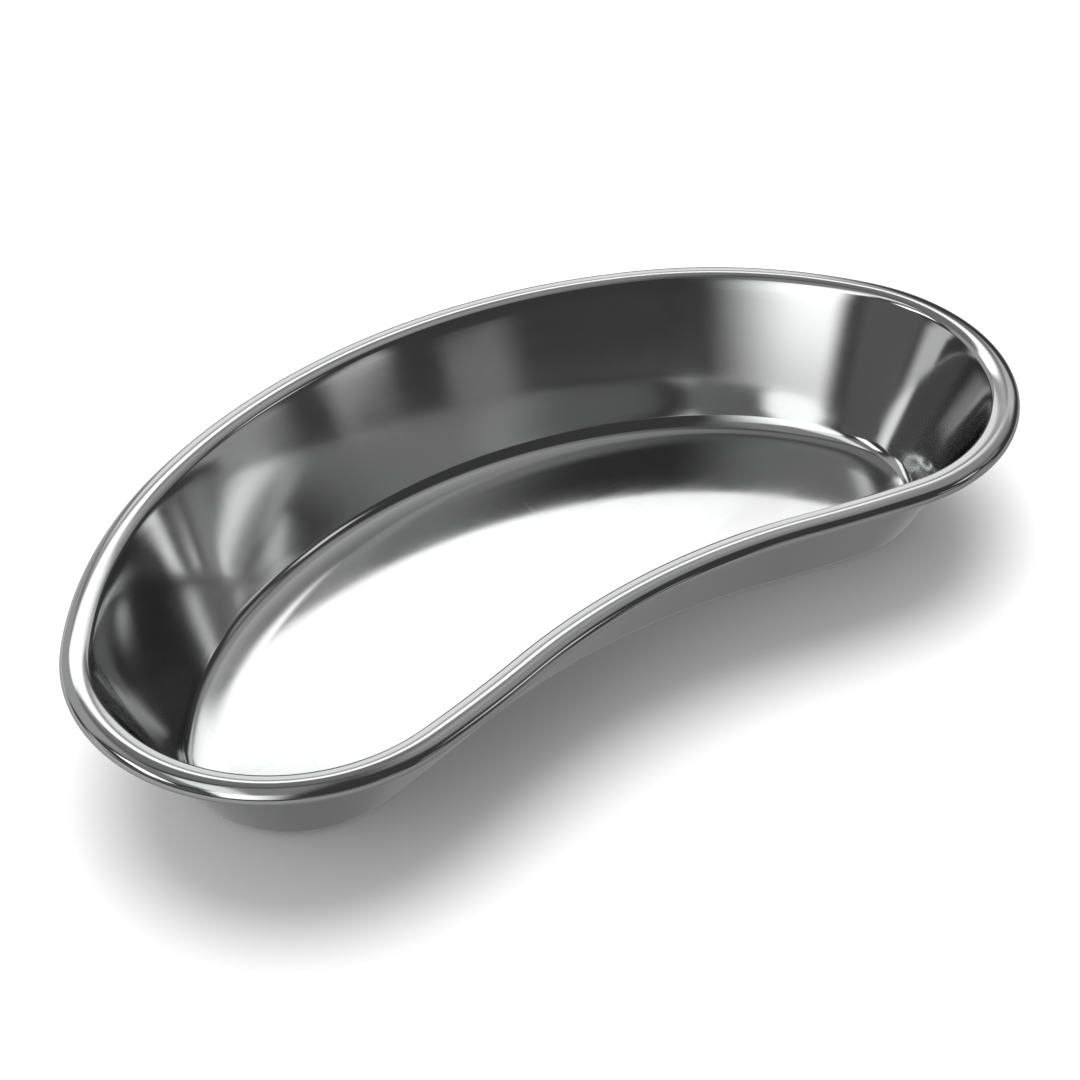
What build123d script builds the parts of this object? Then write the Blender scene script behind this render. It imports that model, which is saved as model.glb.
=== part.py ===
from build123d import *
import os
from math import sin, cos, pi, radians

# Kidney dish (emesis basin), deep drawn from one sheet of stainless steel.
# Frame: +Z up, X along the long side, hollow (concave) side towards -Y.
# The origin is the middle of the footprint, on the surface that the dish stands on.
# Millimetres throughout.

# ---- driving dimensions -------------------------------------------------------
LENGTH = 250.0          # over the rim, end to end
HEIGHT = 37.5           # underside of the floor to the crown of the rim
SHEET = 0.8             # sheet thickness

# Outline: tangent arcs from the middle of the back to the middle of the front.
# It runs through the centre of the inner roll of the rim; the other half mirrors it.
R_BACK, A_BACK = 154.8, 26.65       # long back arc
R_SIDE, A_SIDE = 109.6, 31.24       # shoulder towards the end
R_END, A_END = 43.70, 131.89        # rounded end
R_EASE, A_EASE = 354.9, 4.77        # nearly straight run into the waist
# the concave waist arc closes the half outline: its sweep and radius follow

# Cross-section, from the floor outwards
R_FLOOR, A_FLOOR = 28.0, 15.0       # wide first curve at the edge of the floor (inside radius, angle)
R_CORNER = 4.5                      # corner between floor and wall (inside radius)
DRAFT = 25.4                        # lean of the wall, from vertical
R_ROLL = 1.8                        # inner roll of the rim (outside radius)
R_CROWN, A_CROWN = 6.15, 23.0       # crown of the rim and half its angle
R_OUTER = 2.1                       # outer roll of the rim
R_CURL, A_CURL = 1.0, 140.0         # hem: the sheet's edge turned back under the rim

# ---- cross-section ------------------------------------------------------------
# Each step: kind, radius of the visible side (+ turns up, - turns over), sweep or length.
wall_heading = 90.0 - DRAFT
rise_floor = R_FLOOR * (1 - cos(radians(A_FLOOR)))
rise_corner = R_CORNER * (cos(radians(A_FLOOR)) - cos(radians(wall_heading)))
rise_roll = R_ROLL * (cos(radians(A_CROWN)) - cos(radians(wall_heading)))
rise_crown = R_CROWN * (1 - cos(radians(A_CROWN)))
wall_run = (HEIGHT - SHEET - rise_floor - rise_corner - rise_roll - rise_crown) / cos(radians(DRAFT))

steps = [
    ("arc", R_FLOOR, A_FLOOR),
    ("arc", R_CORNER, wall_heading - A_FLOOR),
    ("line", 0.0, wall_run),
    ("arc", -R_ROLL, wall_heading - A_CROWN),
    ("arc", -R_CROWN, 2 * A_CROWN),
    ("arc", -R_OUTER, 90.0 - A_CROWN),
    ("arc", -R_CURL, A_CURL),
]


def trace(offset):
    """Points of the section `offset` to the right of its visible side: (start, middle, end, is_arc)."""
    u, z, h = 0.0, SHEET, 0.0
    out, roll_centre = [], None
    for kind, radius, amount in steps:
        hr = radians(h)
        right = (sin(hr), -cos(hr))
        if kind == "line":
            a = (u + right[0] * offset, z + right[1] * offset)
            u, z = u + amount * cos(hr), z + amount * sin(hr)
            b = (u + right[0] * offset, z + right[1] * offset)
            out.append((a, None, b))
            continue
        turn = 1 if radius > 0 else -1
        size = abs(radius)
        cu, cz = u - turn * right[0] * size, z - turn * right[1] * size
        if radius == -R_ROLL:
            roll_centre = cu

        def at(angle):
            ar = radians(h + turn * angle)
            reach = size + turn * offset
            return (cu + turn * sin(ar) * reach, cz - turn * cos(ar) * reach)

        out.append((at(0), at(amount / 2), at(amount)))
        ar = radians(h + turn * amount)
        u, z = cu + turn * sin(ar) * size, cz - turn * cos(ar) * size
        h += turn * amount
    return out, roll_centre


inside, centre_u = trace(0.0)
outside, _ = trace(SHEET)


def shift(p):
    return (p[0] - centre_u, p[1])


def edge_2d(a, m, b):
    a, b = shift(a), shift(b)
    if m is None:
        return Edge.make_line((a[0], a[1], 0), (b[0], b[1], 0))
    m = shift(m)
    return Edge.make_three_point_arc((a[0], a[1], 0), (m[0], m[1], 0), (b[0], b[1], 0))


section_edges = [edge_2d(*s) for s in inside]
end_in, end_out = shift(inside[-1][2]), shift(outside[-1][2])
section_edges.append(Edge.make_line((end_in[0], end_in[1], 0), (end_out[0], end_out[1], 0)))
section_edges += [edge_2d(*s) for s in outside]
start_in, start_out = shift(inside[0][0]), shift(outside[0][0])
section_edges.append(Edge.make_line((start_in[0], start_in[1], 0), (start_out[0], start_out[1], 0)))
section = Face(Wire(section_edges))
floor_edge = start_in[0]                       # offset of the flat floor's edge, negative is inwards
rim_reach = max(p[0] for s in inside for p in (shift(s[0]), shift(s[2])))

# ---- outline ------------------------------------------------------------------
arcs = [(R_BACK, A_BACK), (R_SIDE, A_SIDE), (R_END, A_END), (R_EASE, A_EASE)]
heading, x_end, half_length = 0.0, 0.0, 0.0
for radius, sweep in arcs:
    if heading < 90 < heading + sweep:         # the arc that holds the dish's farthest point
        half_length = x_end + radius * (1 - sin(radians(heading)))
    x_end += radius * (sin(radians(heading + sweep)) - sin(radians(heading)))
    heading += sweep
fit = (LENGTH / 2 - rim_reach) / half_length   # sets the overall length exactly
arcs = [(radius * fit, sweep) for radius, sweep in arcs]
x_end *= fit
waist_sweep = heading - 180.0
waist_radius = x_end / (sin(pi) - sin(radians(heading)))
arcs.append((-waist_radius, waist_sweep))      # negative: centre outside the dish

# nodes of the outline: position and outward direction at the start of each arc
x, y, heading = 0.0, 0.0, 0.0
stations, y_low = [], 0.0
for radius, sweep in arcs:
    turn = 1 if radius > 0 else -1
    nx, ny = sin(radians(heading)), cos(radians(heading))
    cx, cy = x - nx * radius, y - ny * radius
    stations.append((x, y, nx, ny, cx, cy, radius, sweep, turn))
    if heading < 180 < heading + sweep:
        y_low = cy - radius
    heading += turn * sweep
    x, y = cx + radius * sin(radians(heading)), cy + radius * cos(radians(heading))

y_shift = -y_low / 2                           # puts the footprint's middle at y = 0
print("width", round(2 * rim_reach - y_low, 3), "rim reach", round(rim_reach, 3), "fit", round(fit, 5),
      "waist radius", round(waist_radius, 2), "waist sweep", round(waist_sweep, 2),
      "floor edge", round(floor_edge, 3), "wall run", round(wall_run, 3))

# ---- solids -------------------------------------------------------------------
sectors, floor_edges = [], []
for px, py, nx, ny, cx, cy, radius, sweep, turn in stations:
    plane = Plane(origin=(px, py + y_shift, 0), x_dir=(nx, ny, 0), z_dir=(ny, -nx, 0))
    face = plane * section
    axis = Axis((cx, cy + y_shift, 0), (0, 0, -turn))
    sectors.append(revolve(face, axis=axis, revolution_arc=sweep))
    reach = radius + floor_edge
    points = []
    for k in (0.0, 0.5, 1.0):                  # start, middle and end of the floor's edge on this arc
        a = radians(turn * sweep * k)
        ox = nx * cos(a) + ny * sin(a)
        oy = -nx * sin(a) + ny * cos(a)
        points.append((cx + ox * reach, cy + y_shift + oy * reach, 0))
    floor_edges.append(Edge.make_three_point_arc(*points))

p_first, p_last = floor_edges[0] @ 0, floor_edges[-1] @ 1
floor_edges.append(Edge.make_line((0, p_last.Y, 0), (0, p_first.Y, 0)))
floor_face = Face(Wire(floor_edges))
floor_half = extrude(floor_face, amount=SHEET, dir=(0, 0, 1))

half = floor_half + sectors
dish = half + mirror(half, about=Plane.YZ)

os.makedirs("parts", exist_ok=True)
solids = dish.solids()
print("solids", len(solids), "volume", round(dish.volume, 1), "box", dish.bounding_box())
body = solids[0]
body.label = "dish_body"
export_step(body, "parts/dish_body.step")
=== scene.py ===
import bpy, bmesh
import numpy as np
from math import sin, cos, pi, radians, atan2
from mathutils import Matrix, Vector


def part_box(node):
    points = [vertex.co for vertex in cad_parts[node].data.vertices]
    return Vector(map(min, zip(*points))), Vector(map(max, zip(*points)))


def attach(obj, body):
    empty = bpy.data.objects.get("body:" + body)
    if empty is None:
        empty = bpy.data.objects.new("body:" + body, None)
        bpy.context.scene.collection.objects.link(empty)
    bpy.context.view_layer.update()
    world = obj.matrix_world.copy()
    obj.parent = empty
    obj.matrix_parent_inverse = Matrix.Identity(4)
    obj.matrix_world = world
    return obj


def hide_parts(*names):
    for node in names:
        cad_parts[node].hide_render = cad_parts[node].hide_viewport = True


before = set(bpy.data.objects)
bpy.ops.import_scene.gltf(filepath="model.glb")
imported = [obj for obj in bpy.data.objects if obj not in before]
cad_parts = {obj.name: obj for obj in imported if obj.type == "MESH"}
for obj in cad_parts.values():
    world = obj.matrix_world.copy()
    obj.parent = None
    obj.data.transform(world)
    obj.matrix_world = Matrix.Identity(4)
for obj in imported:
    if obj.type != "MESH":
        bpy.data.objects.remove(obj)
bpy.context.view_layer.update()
NODE = "dish_body"
lo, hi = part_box(NODE)
MM = 0.001

# ---------------------------------------------------------------- dish: section and outline
LENGTH = (hi[0] - lo[0]) / MM - 0.02
HEIGHT = (hi[2] - lo[2]) / MM
SHEET = 0.8
OUTLINE = [(154.8, 26.65), (109.6, 31.24), (43.70, 131.89), (354.9, 4.77)]
SECTION = dict(R_FLOOR=28.0, A_FLOOR=15.0, R_CORNER=4.5, DRAFT=25.4, R_ROLL=1.8,
               R_CROWN=6.15, A_CROWN=23.0, R_OUTER=2.1, R_CURL=1.0, A_CURL=140.0)


def section():
    """Heading against length along the visible side, from the floor's edge to the hem."""
    g = SECTION
    wall = 90.0 - g["DRAFT"]
    r = radians
    rise = (g["R_FLOOR"] * (1 - cos(r(g["A_FLOOR"]))) + g["R_CORNER"] * (cos(r(g["A_FLOOR"])) - cos(r(wall)))
            + g["R_ROLL"] * (cos(r(g["A_CROWN"])) - cos(r(wall))) + g["R_CROWN"] * (1 - cos(r(g["A_CROWN"]))))
    run = (HEIGHT - SHEET - rise) / cos(r(g["DRAFT"]))
    # radius (+ turns up, - turns over), turn in degrees or length, points, smoothing length in mm
    return [(g["R_FLOOR"], g["A_FLOOR"], 10, 0.8), (g["R_CORNER"], wall - g["A_FLOOR"], 16, 0.5),
            (0.0, run, 16, 0.8), (-g["R_ROLL"], wall - g["A_CROWN"], 9, 0.25), (-g["R_CROWN"], 2 * g["A_CROWN"], 10, 0.25),
            (-g["R_OUTER"], 90.0 - g["A_CROWN"], 9, 0.25), (-g["R_CURL"], g["A_CURL"], 9, 0.08)]


def section_points():
    steps = section()
    ds = 0.01
    s0, head, marks, soft = 0.0, [0.0], [0.0], []
    S, Hh = [0.0], [0.0]
    h = 0.0
    for radius, amount, n, blur in steps:
        length = amount if radius == 0 else abs(radius) * radians(amount)
        k = max(2, int(round(length / ds)))
        for j in range(1, k + 1):
            S.append(s0 + length * j / k)
            Hh.append(h if radius == 0 else h + (1 if radius > 0 else -1) * amount * j / k)
        soft += [blur] * k
        s0 += length
        h = Hh[-1]
        marks.append(s0)
    S, Hh, soft = np.array(S), np.array(Hh), np.array([soft[0]] + soft)
    # ease the curvature steps where arcs meet, as a drawn sheet does
    grid = np.arange(0, S[-1], ds)
    hg = np.interp(grid, S, Hh)
    cum = np.concatenate([[0], np.cumsum(hg) * ds])
    def mean(a, b):
        def integral(x):
            x = np.asarray(x)
            inside = np.interp(np.clip(x, 0, grid[-1]), grid, cum[:-1])
            return inside + np.minimum(x, 0) * hg[0] + np.maximum(x - grid[-1], 0) * hg[-1]
        return (integral(b) - integral(a)) / (b - a)
    w = np.interp(grid, S, soft)
    w = np.convolve(np.pad(w, 60, mode="edge"), np.ones(121) / 121, mode="valid")
    hs = mean(grid - w, grid + w)
    u = np.concatenate([[0], np.cumsum(np.cos(np.radians(hs)) * ds)])[:-1]
    z = np.concatenate([[0], np.cumsum(np.sin(np.radians(hs)) * ds)])[:-1]
    pts = []
    for (radius, amount, n, blur), a, b in zip(steps, marks[:-1], marks[1:]):
        for j in range(n):
            pts.append(a + (b - a) * j / n)
    pts.append(marks[-1] - ds)
    pts = np.array(pts)
    U, Z, H = np.interp(pts, grid, u), np.interp(pts, grid, z), np.interp(pts, grid, hs)
    # stretch the height so the crown stands where the unsmoothed section would put it
    Z = SHEET + Z * (HEIGHT - SHEET) / Z.max()
    roll = marks[3] + (marks[4] - marks[3])
    return U, Z, H, marks


def outline_raw():
    """Reach of the rim, from the centre of the inner roll to its outermost point."""
    g, steps = SECTION, section()
    # horizontal reach from the roll's centre to the outermost point
    a = radians(g["A_CROWN"])
    reach = -g["R_ROLL"] * sin(a) + 2 * g["R_CROWN"] * sin(a) + g["R_OUTER"] * (1 - sin(a))
    return reach


def outline_points(reach, count):
    h = x = half = 0.0
    for R, sweep in OUTLINE:
        if h < 90 < h + sweep:
            half = x + R * (1 - sin(radians(h)))
        x += R * (sin(radians(h + sweep)) - sin(radians(h)))
        h += sweep
    fit = (LENGTH / 2 - reach) / half
    arcs = [(R * fit, sweep) for R, sweep in OUTLINE]
    x *= fit
    arcs.append((-x / (sin(pi) - sin(radians(h))), h - 180.0))
    # heading along the whole closed outline, then curvature eased over a few millimetres
    ds = 0.05
    half_h, hh = [], 0.0
    for R, sweep in arcs:
        turn = 1 if R > 0 else -1
        length = abs(R) * radians(sweep)
        half_h.append((length, turn * sweep))
    seq = half_h + half_h[::-1]
    total = sum(a for a, b in seq)
    n = int(round(total / ds))
    ds = total / n
    s = (np.arange(n) + 0.5) * ds
    edges = np.concatenate([[0], np.cumsum([a for a, b in seq])])
    heads = np.concatenate([[0], np.cumsum([b for a, b in seq])])
    kappa = np.zeros(n)
    for i in range(len(seq)):
        m = (s >= edges[i]) & (s < edges[i + 1])
        kappa[m] = radians(seq[i][1]) / seq[i][0]
    k = int(4.0 / ds)
    ker = np.hanning(2 * k + 1); ker /= ker.sum()
    kappa = np.convolve(np.concatenate([kappa[-k:], kappa, kappa[:k]]), ker, mode="valid")
    kappa *= 2 * pi / (kappa.sum() * ds)
    head = np.cumsum(kappa) * ds - kappa * ds / 2
    px = np.cumsum(np.cos(head)) * ds
    py = -np.cumsum(np.sin(head)) * ds
    px = np.concatenate([[0], px]); py = np.concatenate([[0], py])
    t = np.arange(n + 1) * ds
    px -= px[-1] * t / total; py -= py[-1] * t / total
    head = np.concatenate([[0], head + kappa * ds / 2])
    want = np.arange(count) * total / count
    X, Y, Hd = np.interp(want, t, px), np.interp(want, t, py), np.interp(want, t, head)
    X = X - (X.max() + X.min()) / 2
    nx, ny = np.sin(Hd), np.cos(Hd)
    half = (X + nx * reach).max()
    X *= (LENGTH / 2 - reach) / (half - reach)
    lo_y, hi_y = (Y + ny * reach).min(), (Y + ny * reach).max()
    Y = (Y - (lo_y + hi_y) / 2) * (((hi[1] - lo[1]) / MM - 0.02 - 2 * reach) / (hi_y - lo_y - 2 * reach))
    return X, Y, nx, ny, total


def build_dish(count=540):
    U, Z, H, marks = section_points()
    reach = outline_raw()
    U = U + (reach - U.max())
    X, Y, nx, ny, total = outline_points(reach, count)
    hr = np.radians(H)
    right_u, right_z = np.sin(hr), -np.cos(hr)
    # the underside is the same section, offset by the sheet
    Ub, Zb = U + right_u * SHEET, Z + right_z * SHEET
    Zb[0] = 0.0
    bm = bmesh.new()
    n = count
    uv = bm.loops.layers.uv.new("sheet")
    inner = [[bm.verts.new(((X[i] + nx[i] * U[j]) * MM, (Y[i] + ny[i] * U[j]) * MM, Z[j] * MM)) for j in range(len(U))] for i in range(n)]
    outer = [[bm.verts.new(((X[i] + nx[i] * Ub[j]) * MM, (Y[i] + ny[i] * Ub[j]) * MM, Zb[j] * MM)) for j in range(len(Ub))] for i in range(n)]
    m, mb = len(U), len(Ub)
    arc = np.concatenate([[0], np.cumsum(np.hypot(np.diff(U), np.diff(Z)))])
    def quad(a, b, c, d, *uvs):
        f = bm.faces.new((a, b, c, d)); f.smooth = True
        for loop, w in zip(f.loops, uvs):
            loop[uv].uv = w
    for i in range(n):
        k = (i + 1) % n
        s0, s1 = total * MM * i / n, total * MM * (i + 1) / n
        for j in range(m - 1):
            a0, a1 = arc[j] * MM, arc[j + 1] * MM
            quad(inner[i][j], inner[i][j + 1], inner[k][j + 1], inner[k][j], (s0, a0), (s0, a1), (s1, a1), (s1, a0))
            quad(outer[i][j], outer[k][j], outer[k][j + 1], outer[i][j + 1], (s0, -a0), (s1, -a0), (s1, -a1), (s0, -a1))
        a0, a1 = arc[-1] * MM, (arc[-1] + SHEET) * MM
        quad(inner[i][m - 1], outer[i][mb - 1], outer[k][mb - 1], inner[k][m - 1], (s0, a0), (s0, a1), (s1, a1), (s1, a0))
    # flat floor, both faces: rungs between the back half and the front half of its edge
    left = int(np.argmin(X + nx * U[0])); rightmost = int(np.argmax(X + nx * U[0]))
    half = n // 2
    rungs = 14
    for ring, flip in ((inner, False), (outer, True)):
        back = [ring[(left + q) % n][0] for q in range(half + 1)]
        front = [ring[(left - q) % n][0] for q in range(half + 1)]
        rows = []
        for q in range(1, half):
            a, b = back[q].co, front[q].co
            rows.append([back[q]] + [bm.verts.new(a.lerp(b, w / rungs)) for w in range(1, rungs)] + [front[q]])
        def face(vs):
            vs = vs[::-1] if flip else vs
            f = bm.faces.new(vs); f.smooth = True
            for loop in f.loops:
                loop[uv].uv = (loop.vert.co.x + 1.0, loop.vert.co.y)
        for q in range(len(rows) - 1):
            for w in range(rungs):
                face([rows[q][w], rows[q][w + 1], rows[q + 1][w + 1], rows[q + 1][w]])
        for w in range(rungs):
            face([back[0], rows[0][w + 1], rows[0][w]])
            face([back[half], rows[-1][w], rows[-1][w + 1]])
    bmesh.ops.recalc_face_normals(bm, faces=bm.faces)
    me = bpy.data.meshes.new("pressed_dish")
    bm.to_mesh(me); bm.free()
    ob = bpy.data.objects.new("pressed_dish", me)
    bpy.context.scene.collection.objects.link(ob)
    return ob


# ---------------------------------------------------------------- material
def steel():
    """Mirror-polished stainless: buffing lines round the sheet, wipe marks, hairlines and a handled rim."""
    mat = bpy.data.materials.new("polished_stainless")
    mat.use_nodes = True
    nt = mat.node_tree
    link = nt.links.new
    shader = nt.nodes["Principled BSDF"]
    shader.inputs["Metallic"].default_value = 1.0
    shader.inputs["Anisotropic"].default_value = 0.0

    def new(kind, **values):
        nd = nt.nodes.new(kind)
        for key, v in values.items():
            nd.inputs[key.replace("_", " ")].default_value = v
        return nd

    def math(op, a, b=None, clamp=False):
        nd = nt.nodes.new("ShaderNodeMath"); nd.operation = op; nd.use_clamp = clamp
        for sock, v in zip(nd.inputs, (a, b)):
            if v is None:
                continue
            if isinstance(v, (int, float)):
                sock.default_value = v
            else:
                link(v, sock)
        return nd.outputs[0]

    def span(value, a, b, lo_, hi_):
        nd = nt.nodes.new("ShaderNodeMapRange"); nd.interpolation_type = "SMOOTHSTEP"
        link(value, nd.inputs["Value"])
        for key, v in (("From Min", a), ("From Max", b), ("To Min", lo_), ("To Max", hi_)):
            nd.inputs[key].default_value = v
        return nd.outputs["Result"]

    def stretched(vector, scale, turn=0.0):
        nd = nt.nodes.new("ShaderNodeMapping")
        link(vector, nd.inputs["Vector"])
        nd.inputs["Scale"].default_value = scale
        nd.inputs["Rotation"].default_value = (0, 0, radians(turn))
        return nd.outputs["Vector"]

    def noise(vector, scale, detail=2.0, rough=0.5, distortion=0.0):
        nd = new("ShaderNodeTexNoise", Scale=scale, Detail=detail, Roughness=rough, Distortion=distortion)
        link(vector, nd.inputs["Vector"])
        return nd.outputs["Fac"]

    place = nt.nodes.new("ShaderNodeTexCoord").outputs["Object"]          # metres
    uvn = nt.nodes.new("ShaderNodeUVMap"); uvn.uv_map = "sheet"
    sheet = uvn.outputs["UV"]                                             # metres round and up the section
    split = nt.nodes.new("ShaderNodeSeparateXYZ"); link(place, split.inputs[0])
    height = split.outputs["Z"]
    on_rim = span(height, 0.0345, 0.0371, 0.0, 1.0)

    # soft wipe marks and a faint haze, centimetres across
    wipe = noise(stretched(place, (1.0, 2.6, 1.6), 24), 21.0, 4.0, 0.58, 0.6)
    haze = noise(place, 9.0, 2.0, 0.5)
    # buffing lines, which run round the dish
    lines = noise(stretched(sheet, (14.0, 2300.0, 1.0)), 1.0, 3.0, 0.6)
    # sparse hairlines in two directions
    hair_a = span(noise(stretched(place, (60.0, 2600.0, 900.0), 33), 1.0, 1.0, 0.4), 0.735, 0.80, 0.0, 1.0)
    hair_b = span(noise(stretched(place, (2300.0, 45.0, 700.0), -12), 1.0, 1.0, 0.4), 0.745, 0.81, 0.0, 1.0)
    hairs = math("MAXIMUM", hair_a, hair_b)
    # tiny contact marks where dishes stack and hands hold: the rim
    ticks = span(noise(stretched(sheet, (420.0, 2600.0, 1.0)), 1.0, 2.0, 0.5), 0.60, 0.72, 0.0, 1.0)
    worn = math("MULTIPLY", on_rim, ticks)

    rough = span(wipe, 0.34, 0.70, 0.082, 0.122)
    rough = math("ADD", rough, math("MULTIPLY", math("SUBTRACT", lines, 0.5), 0.035))
    rough = math("ADD", rough, math("MULTIPLY", hairs, 0.06))
    rough = math("ADD", rough, math("MULTIPLY", worn, 0.07))
    link(math("MAXIMUM", rough, 0.055), shader.inputs["Roughness"])

    tone = math("ADD", math("MULTIPLY", haze, 0.5), math("MULTIPLY", wipe, 0.5))
    ramp = nt.nodes.new("ShaderNodeValToRGB")
    ramp.color_ramp.elements[0].position, ramp.color_ramp.elements[0].color = 0.30, (0.585, 0.592, 0.597, 1)
    ramp.color_ramp.elements[1].position, ramp.color_ramp.elements[1].color = 0.70, (0.640, 0.640, 0.637, 1)
    link(tone, ramp.inputs["Fac"])
    dull = nt.nodes.new("ShaderNodeMix"); dull.data_type = "RGBA"
    link(math("MULTIPLY", worn, 0.5), dull.inputs["Factor"])
    link(ramp.outputs["Color"], dull.inputs[6])
    dull.inputs[7].default_value = (0.53, 0.53, 0.525, 1)
    link(dull.outputs[2], shader.inputs["Base Color"])

    # waviness of the drawn sheet, then buffing lines and hairlines, in metres of height
    def bump(height_, distance, normal=None):
        nd = nt.nodes.new("ShaderNodeBump")
        nd.inputs["Strength"].default_value = 1.0
        nd.inputs["Distance"].default_value = distance
        link(height_, nd.inputs["Height"])
        if normal:
            link(normal, nd.inputs["Normal"])
        return nd.outputs["Normal"]

    wave = bump(noise(place, 30.0, 1.0, 0.4), 1.6e-5)
    fine = bump(lines, 4.0e-7, wave)
    cuts = bump(math("SUBTRACT", 1.0, math("MAXIMUM", hairs, worn)), 6.0e-7, fine)
    link(cuts, shader.inputs["Normal"])
    return mat


dish = build_dish()
dish.data.materials.append(steel())
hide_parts(NODE)
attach(dish, "root")

# ---------------------------------------------------------------- floor
floor_me = bpy.data.meshes.new("floor")
W = 6.0
LOW = -0.00005      # just clear of the dish's base
floor_me.from_pydata([(-W, -W, LOW), (W, -W, LOW), (W, W, LOW), (-W, W, LOW)], [], [(0, 1, 2, 3)])
floor = bpy.data.objects.new("floor", floor_me)
bpy.context.scene.collection.objects.link(floor)
fm = bpy.data.materials.new("pale_floor"); fm.use_nodes = True
fb = fm.node_tree.nodes["Principled BSDF"]
fb.inputs["Base Color"].default_value = (0.86, 0.86, 0.86, 1)
fb.inputs["Roughness"].default_value = 0.9
fb.inputs["Specular IOR Level"].default_value = 0.1
floor_me.materials.append(fm)
floor.visible_glossy = False      # a shadow catcher: the dish mirrors the studio's grey ground instead

# ---------------------------------------------------------------- camera
AZ, EL, ROLL = -35.302850, 40.090859, -0.826320
DIST, TX, TY = 0.5505234, -0.0029712, -0.0098037
a, e, r = radians(AZ), radians(EL), radians(ROLL)
back = Vector((sin(a) * cos(e), -cos(a) * cos(e), sin(e)))
right = Vector((0, 0, 1)).cross(back).normalized()
up = back.cross(right)
right2 = right * cos(r) + up * sin(r)
up2 = -right * sin(r) + up * cos(r)
cam_data = bpy.data.cameras.new("camera")
cam = bpy.data.objects.new("camera", cam_data)
bpy.context.scene.collection.objects.link(cam)
pos = back * DIST - (right2 * TX + up2 * TY)
m = Matrix((right2, up2, back)).transposed().to_4x4()
m.translation = pos
cam.matrix_world = m
cam_data.sensor_width = 36.0
cam_data.lens = 2231.8975 * 36.0 / 1080.0
cam_data.clip_start, cam_data.clip_end = 0.01, 50.0
bpy.context.scene.camera = cam

# ---------------------------------------------------------------- light
AWAY = Vector((-back.x, -back.y, 0)).normalized()      # from the camera, over the dish
SIDE = Vector((right.x, right.y, 0)).normalized()      # to the camera's right
UP = Vector((0, 0, 1))

# Studio panels by direction, in degrees. theta climbs from the far horizon over the dish (90 is overhead) to the camera's own
# horizon (180), and phi is to the right. Each is theta from, theta to, phi from, phi to, softness of its edges in theta, at the
# left and at the right, and strength.
PANELS = [
    ("back_panel", 38.2, 46.8, -27, 13, 1.8, 5, 28, 1.85),
    ("back_panel_middle", 30, 38.2, -24, 11, 2, 6, 14, 0.42),
    ("back_panel_low", 3, 30, -24, 10, 5, 6, 6, 1.05),
    ("back_glow", 46.8, 68, -24, 16, 2.5, 8, 8, 0.17),
    ("right_fill", 36, 80, 8, 40, 12, 14, 20, 0.30),
    ("right_low", 24, 38, 17, 34, 6, 8, 8, 0.60),
    ("right_far", 52, 72, 46, 60, 6, 6, 6, 0.24),
    ("right_strip", 84, 108, 55, 65, 8, 4, 6, 0.95),
    ("right_edge", 40, 150, 77, 95, 20, 5, 5, 0.32),
    ("left_fill", -10, 73, -66, -27, 12, 10, 8, 0.40),
    ("left_over", 73, 112, -40, -24, 8, 8, 4, 0.20),
    ("left_edge", 50, 148, -95, -75, 24, 4, 9, 0.62),
    ("left_hot", 89, 131, -55, -42.5, 7, 4, 3, 2.50),
    ("camera_panel", 118, 164.5, -27, -6.5, 8, 5, 24, 1.85),
    ("camera_panel_top", 75, 118, -24, -13, 5, 3, 3, 1.15),
    ("camera_glow", 72, 118, -13, 2, 8, 3, 10, 0.25),
    ("camera_streak", 148, 159.5, 59, 70, 3, 4, 4, 0.50),
    ("camera_low", 161.5, 178, 40, 51, 2, 6, 4, 0.20),
    ("camera_low_middle", 165.5, 178, 6, 40, 2, 8, 6, 0.14),
    ("camera_right", 134, 166, -72, -33, 10, 8, 8, 0.075),
]
AMBIENT = 0.055


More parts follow.
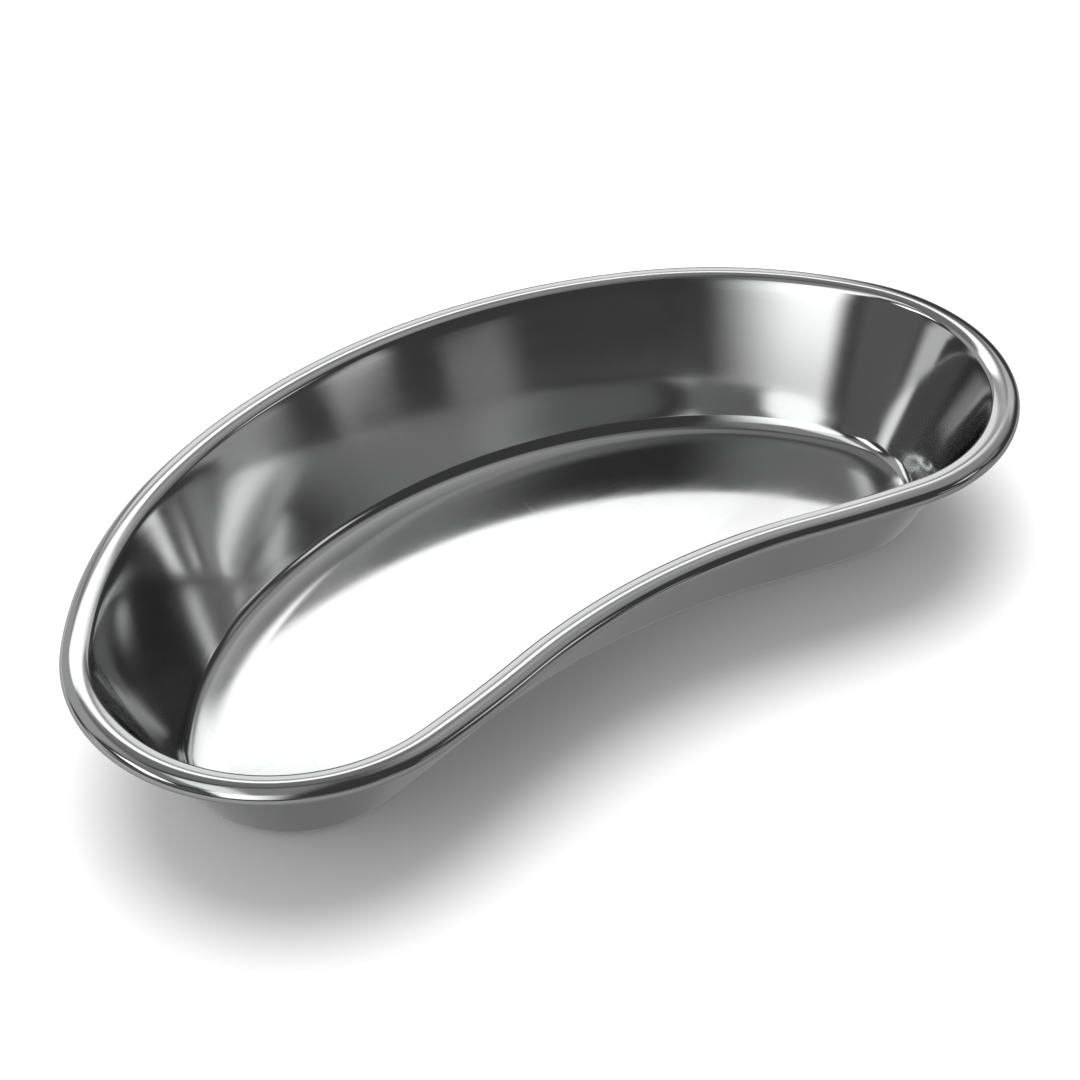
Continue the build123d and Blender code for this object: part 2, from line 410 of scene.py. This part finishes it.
def room():
    world = bpy.data.worlds.new("room")
    bpy.context.scene.world = world
    world.use_nodes = True
    nt = world.node_tree
    link = nt.links.new

    def math(op, a, b=None, c=None, clamp=False):
        nd = nt.nodes.new("ShaderNodeMath"); nd.operation = op; nd.use_clamp = clamp
        for sock, v in zip(nd.inputs, (a, b, c)):
            if v is None:
                continue
            if isinstance(v, (int, float)):
                sock.default_value = v
            else:
                link(v, sock)
        return nd.outputs[0]

    def dot(vec, axis):
        nd = nt.nodes.new("ShaderNodeVectorMath"); nd.operation = "DOT_PRODUCT"
        link(vec, nd.inputs[0]); nd.inputs[1].default_value = axis
        return nd.outputs["Value"]

    def step(value, edge, soft):
        nd = nt.nodes.new("ShaderNodeMapRange"); nd.interpolation_type = "SMOOTHSTEP"
        link(value, nd.inputs["Value"])
        nd.inputs["From Min"].default_value = edge - soft / 2
        nd.inputs["From Max"].default_value = edge + soft / 2
        return nd.outputs["Result"]

    co = nt.nodes.new("ShaderNodeTexCoord").outputs["Generated"]
    along, over, side = dot(co, AWAY), dot(co, UP), dot(co, SIDE)
    # theta from -90 to 270
    turned = math("ARCTAN2", math("MULTIPLY", along, -1.0), over)      # 0 overhead, + to the camera
    theta = math("ADD", math("MULTIPLY", turned, 180 / pi), 90.0)
    phi = math("MULTIPLY", math("ARCSINE", side), 180 / pi)
    # the ground that polished steel mirrors in place of the lit floor: dark straight down, where the dish shades it, lighter
    # towards the horizon and to the left
    def climb(from_, to_, low, high):
        nd = nt.nodes.new("ShaderNodeMapRange")
        link(over, nd.inputs["Value"])
        for key, v in (("From Min", from_), ("From Max", to_), ("To Min", low), ("To Max", high)):
            nd.inputs[key].default_value = v
        return nd.outputs["Result"]
    ground = math("ADD", climb(-0.995, -0.74, 0.155, 0.30), climb(-0.74, 0.0, 0.0, 0.12))
    ground = math("MULTIPLY", ground, math("SUBTRACT", 1.0, math("MULTIPLY", side, 0.30)))
    total = math("ADD", math("MULTIPLY", math("SUBTRACT", 1.0, step(over, -0.02, 0.05)), ground), AMBIENT)
    for name, t0, t1, p0, p1, st, sl, sr, strength in PANELS:
        m = math("MULTIPLY", math("SUBTRACT", step(theta, t0, st), step(theta, t1, st)),
                 math("SUBTRACT", step(phi, p0, sl), step(phi, p1, sr), clamp=True))
        total = math("MULTIPLY_ADD", m, strength, total)
    bg = nt.nodes["Background"]
    bg.inputs["Color"].default_value = (1.0, 1.0, 1.0, 1)
    link(total, bg.inputs["Strength"])
    white = nt.nodes.new("ShaderNodeBackground")
    white.inputs["Color"].default_value = (1, 1, 1, 1)
    lp = nt.nodes.new("ShaderNodeLightPath")
    mix = nt.nodes.new("ShaderNodeMixShader")
    link(lp.outputs["Is Camera Ray"], mix.inputs["Fac"])
    link(bg.outputs[0], mix.inputs[1])
    link(white.outputs[0], mix.inputs[2])
    link(mix.outputs[0], nt.nodes["World Output"].inputs["Surface"])


room()


def sky(name, theta_, phi_, angle, energy):
    """A soft lamp for the floor and its shadow, which polished steel doesn't mirror."""
    lamp = bpy.data.lights.new(name, "SUN")
    lamp.energy, lamp.angle = energy, radians(angle)
    ob = bpy.data.objects.new(name, lamp)
    bpy.context.scene.collection.objects.link(ob)
    t_, p_ = radians(theta_), radians(phi_)
    d_ = (AWAY * cos(t_) + UP * sin(t_)) * cos(p_) + SIDE * sin(p_)
    ob.rotation_mode = "QUATERNION"
    ob.rotation_quaternion = d_.to_track_quat("Z", "Y")
    ob.visible_glossy = False


sky("key", 73, -3, 50, 2.5)
sky("top", 84, 0, 130, 1.3)
bpy.context.scene.view_settings.view_transform = "Standard"
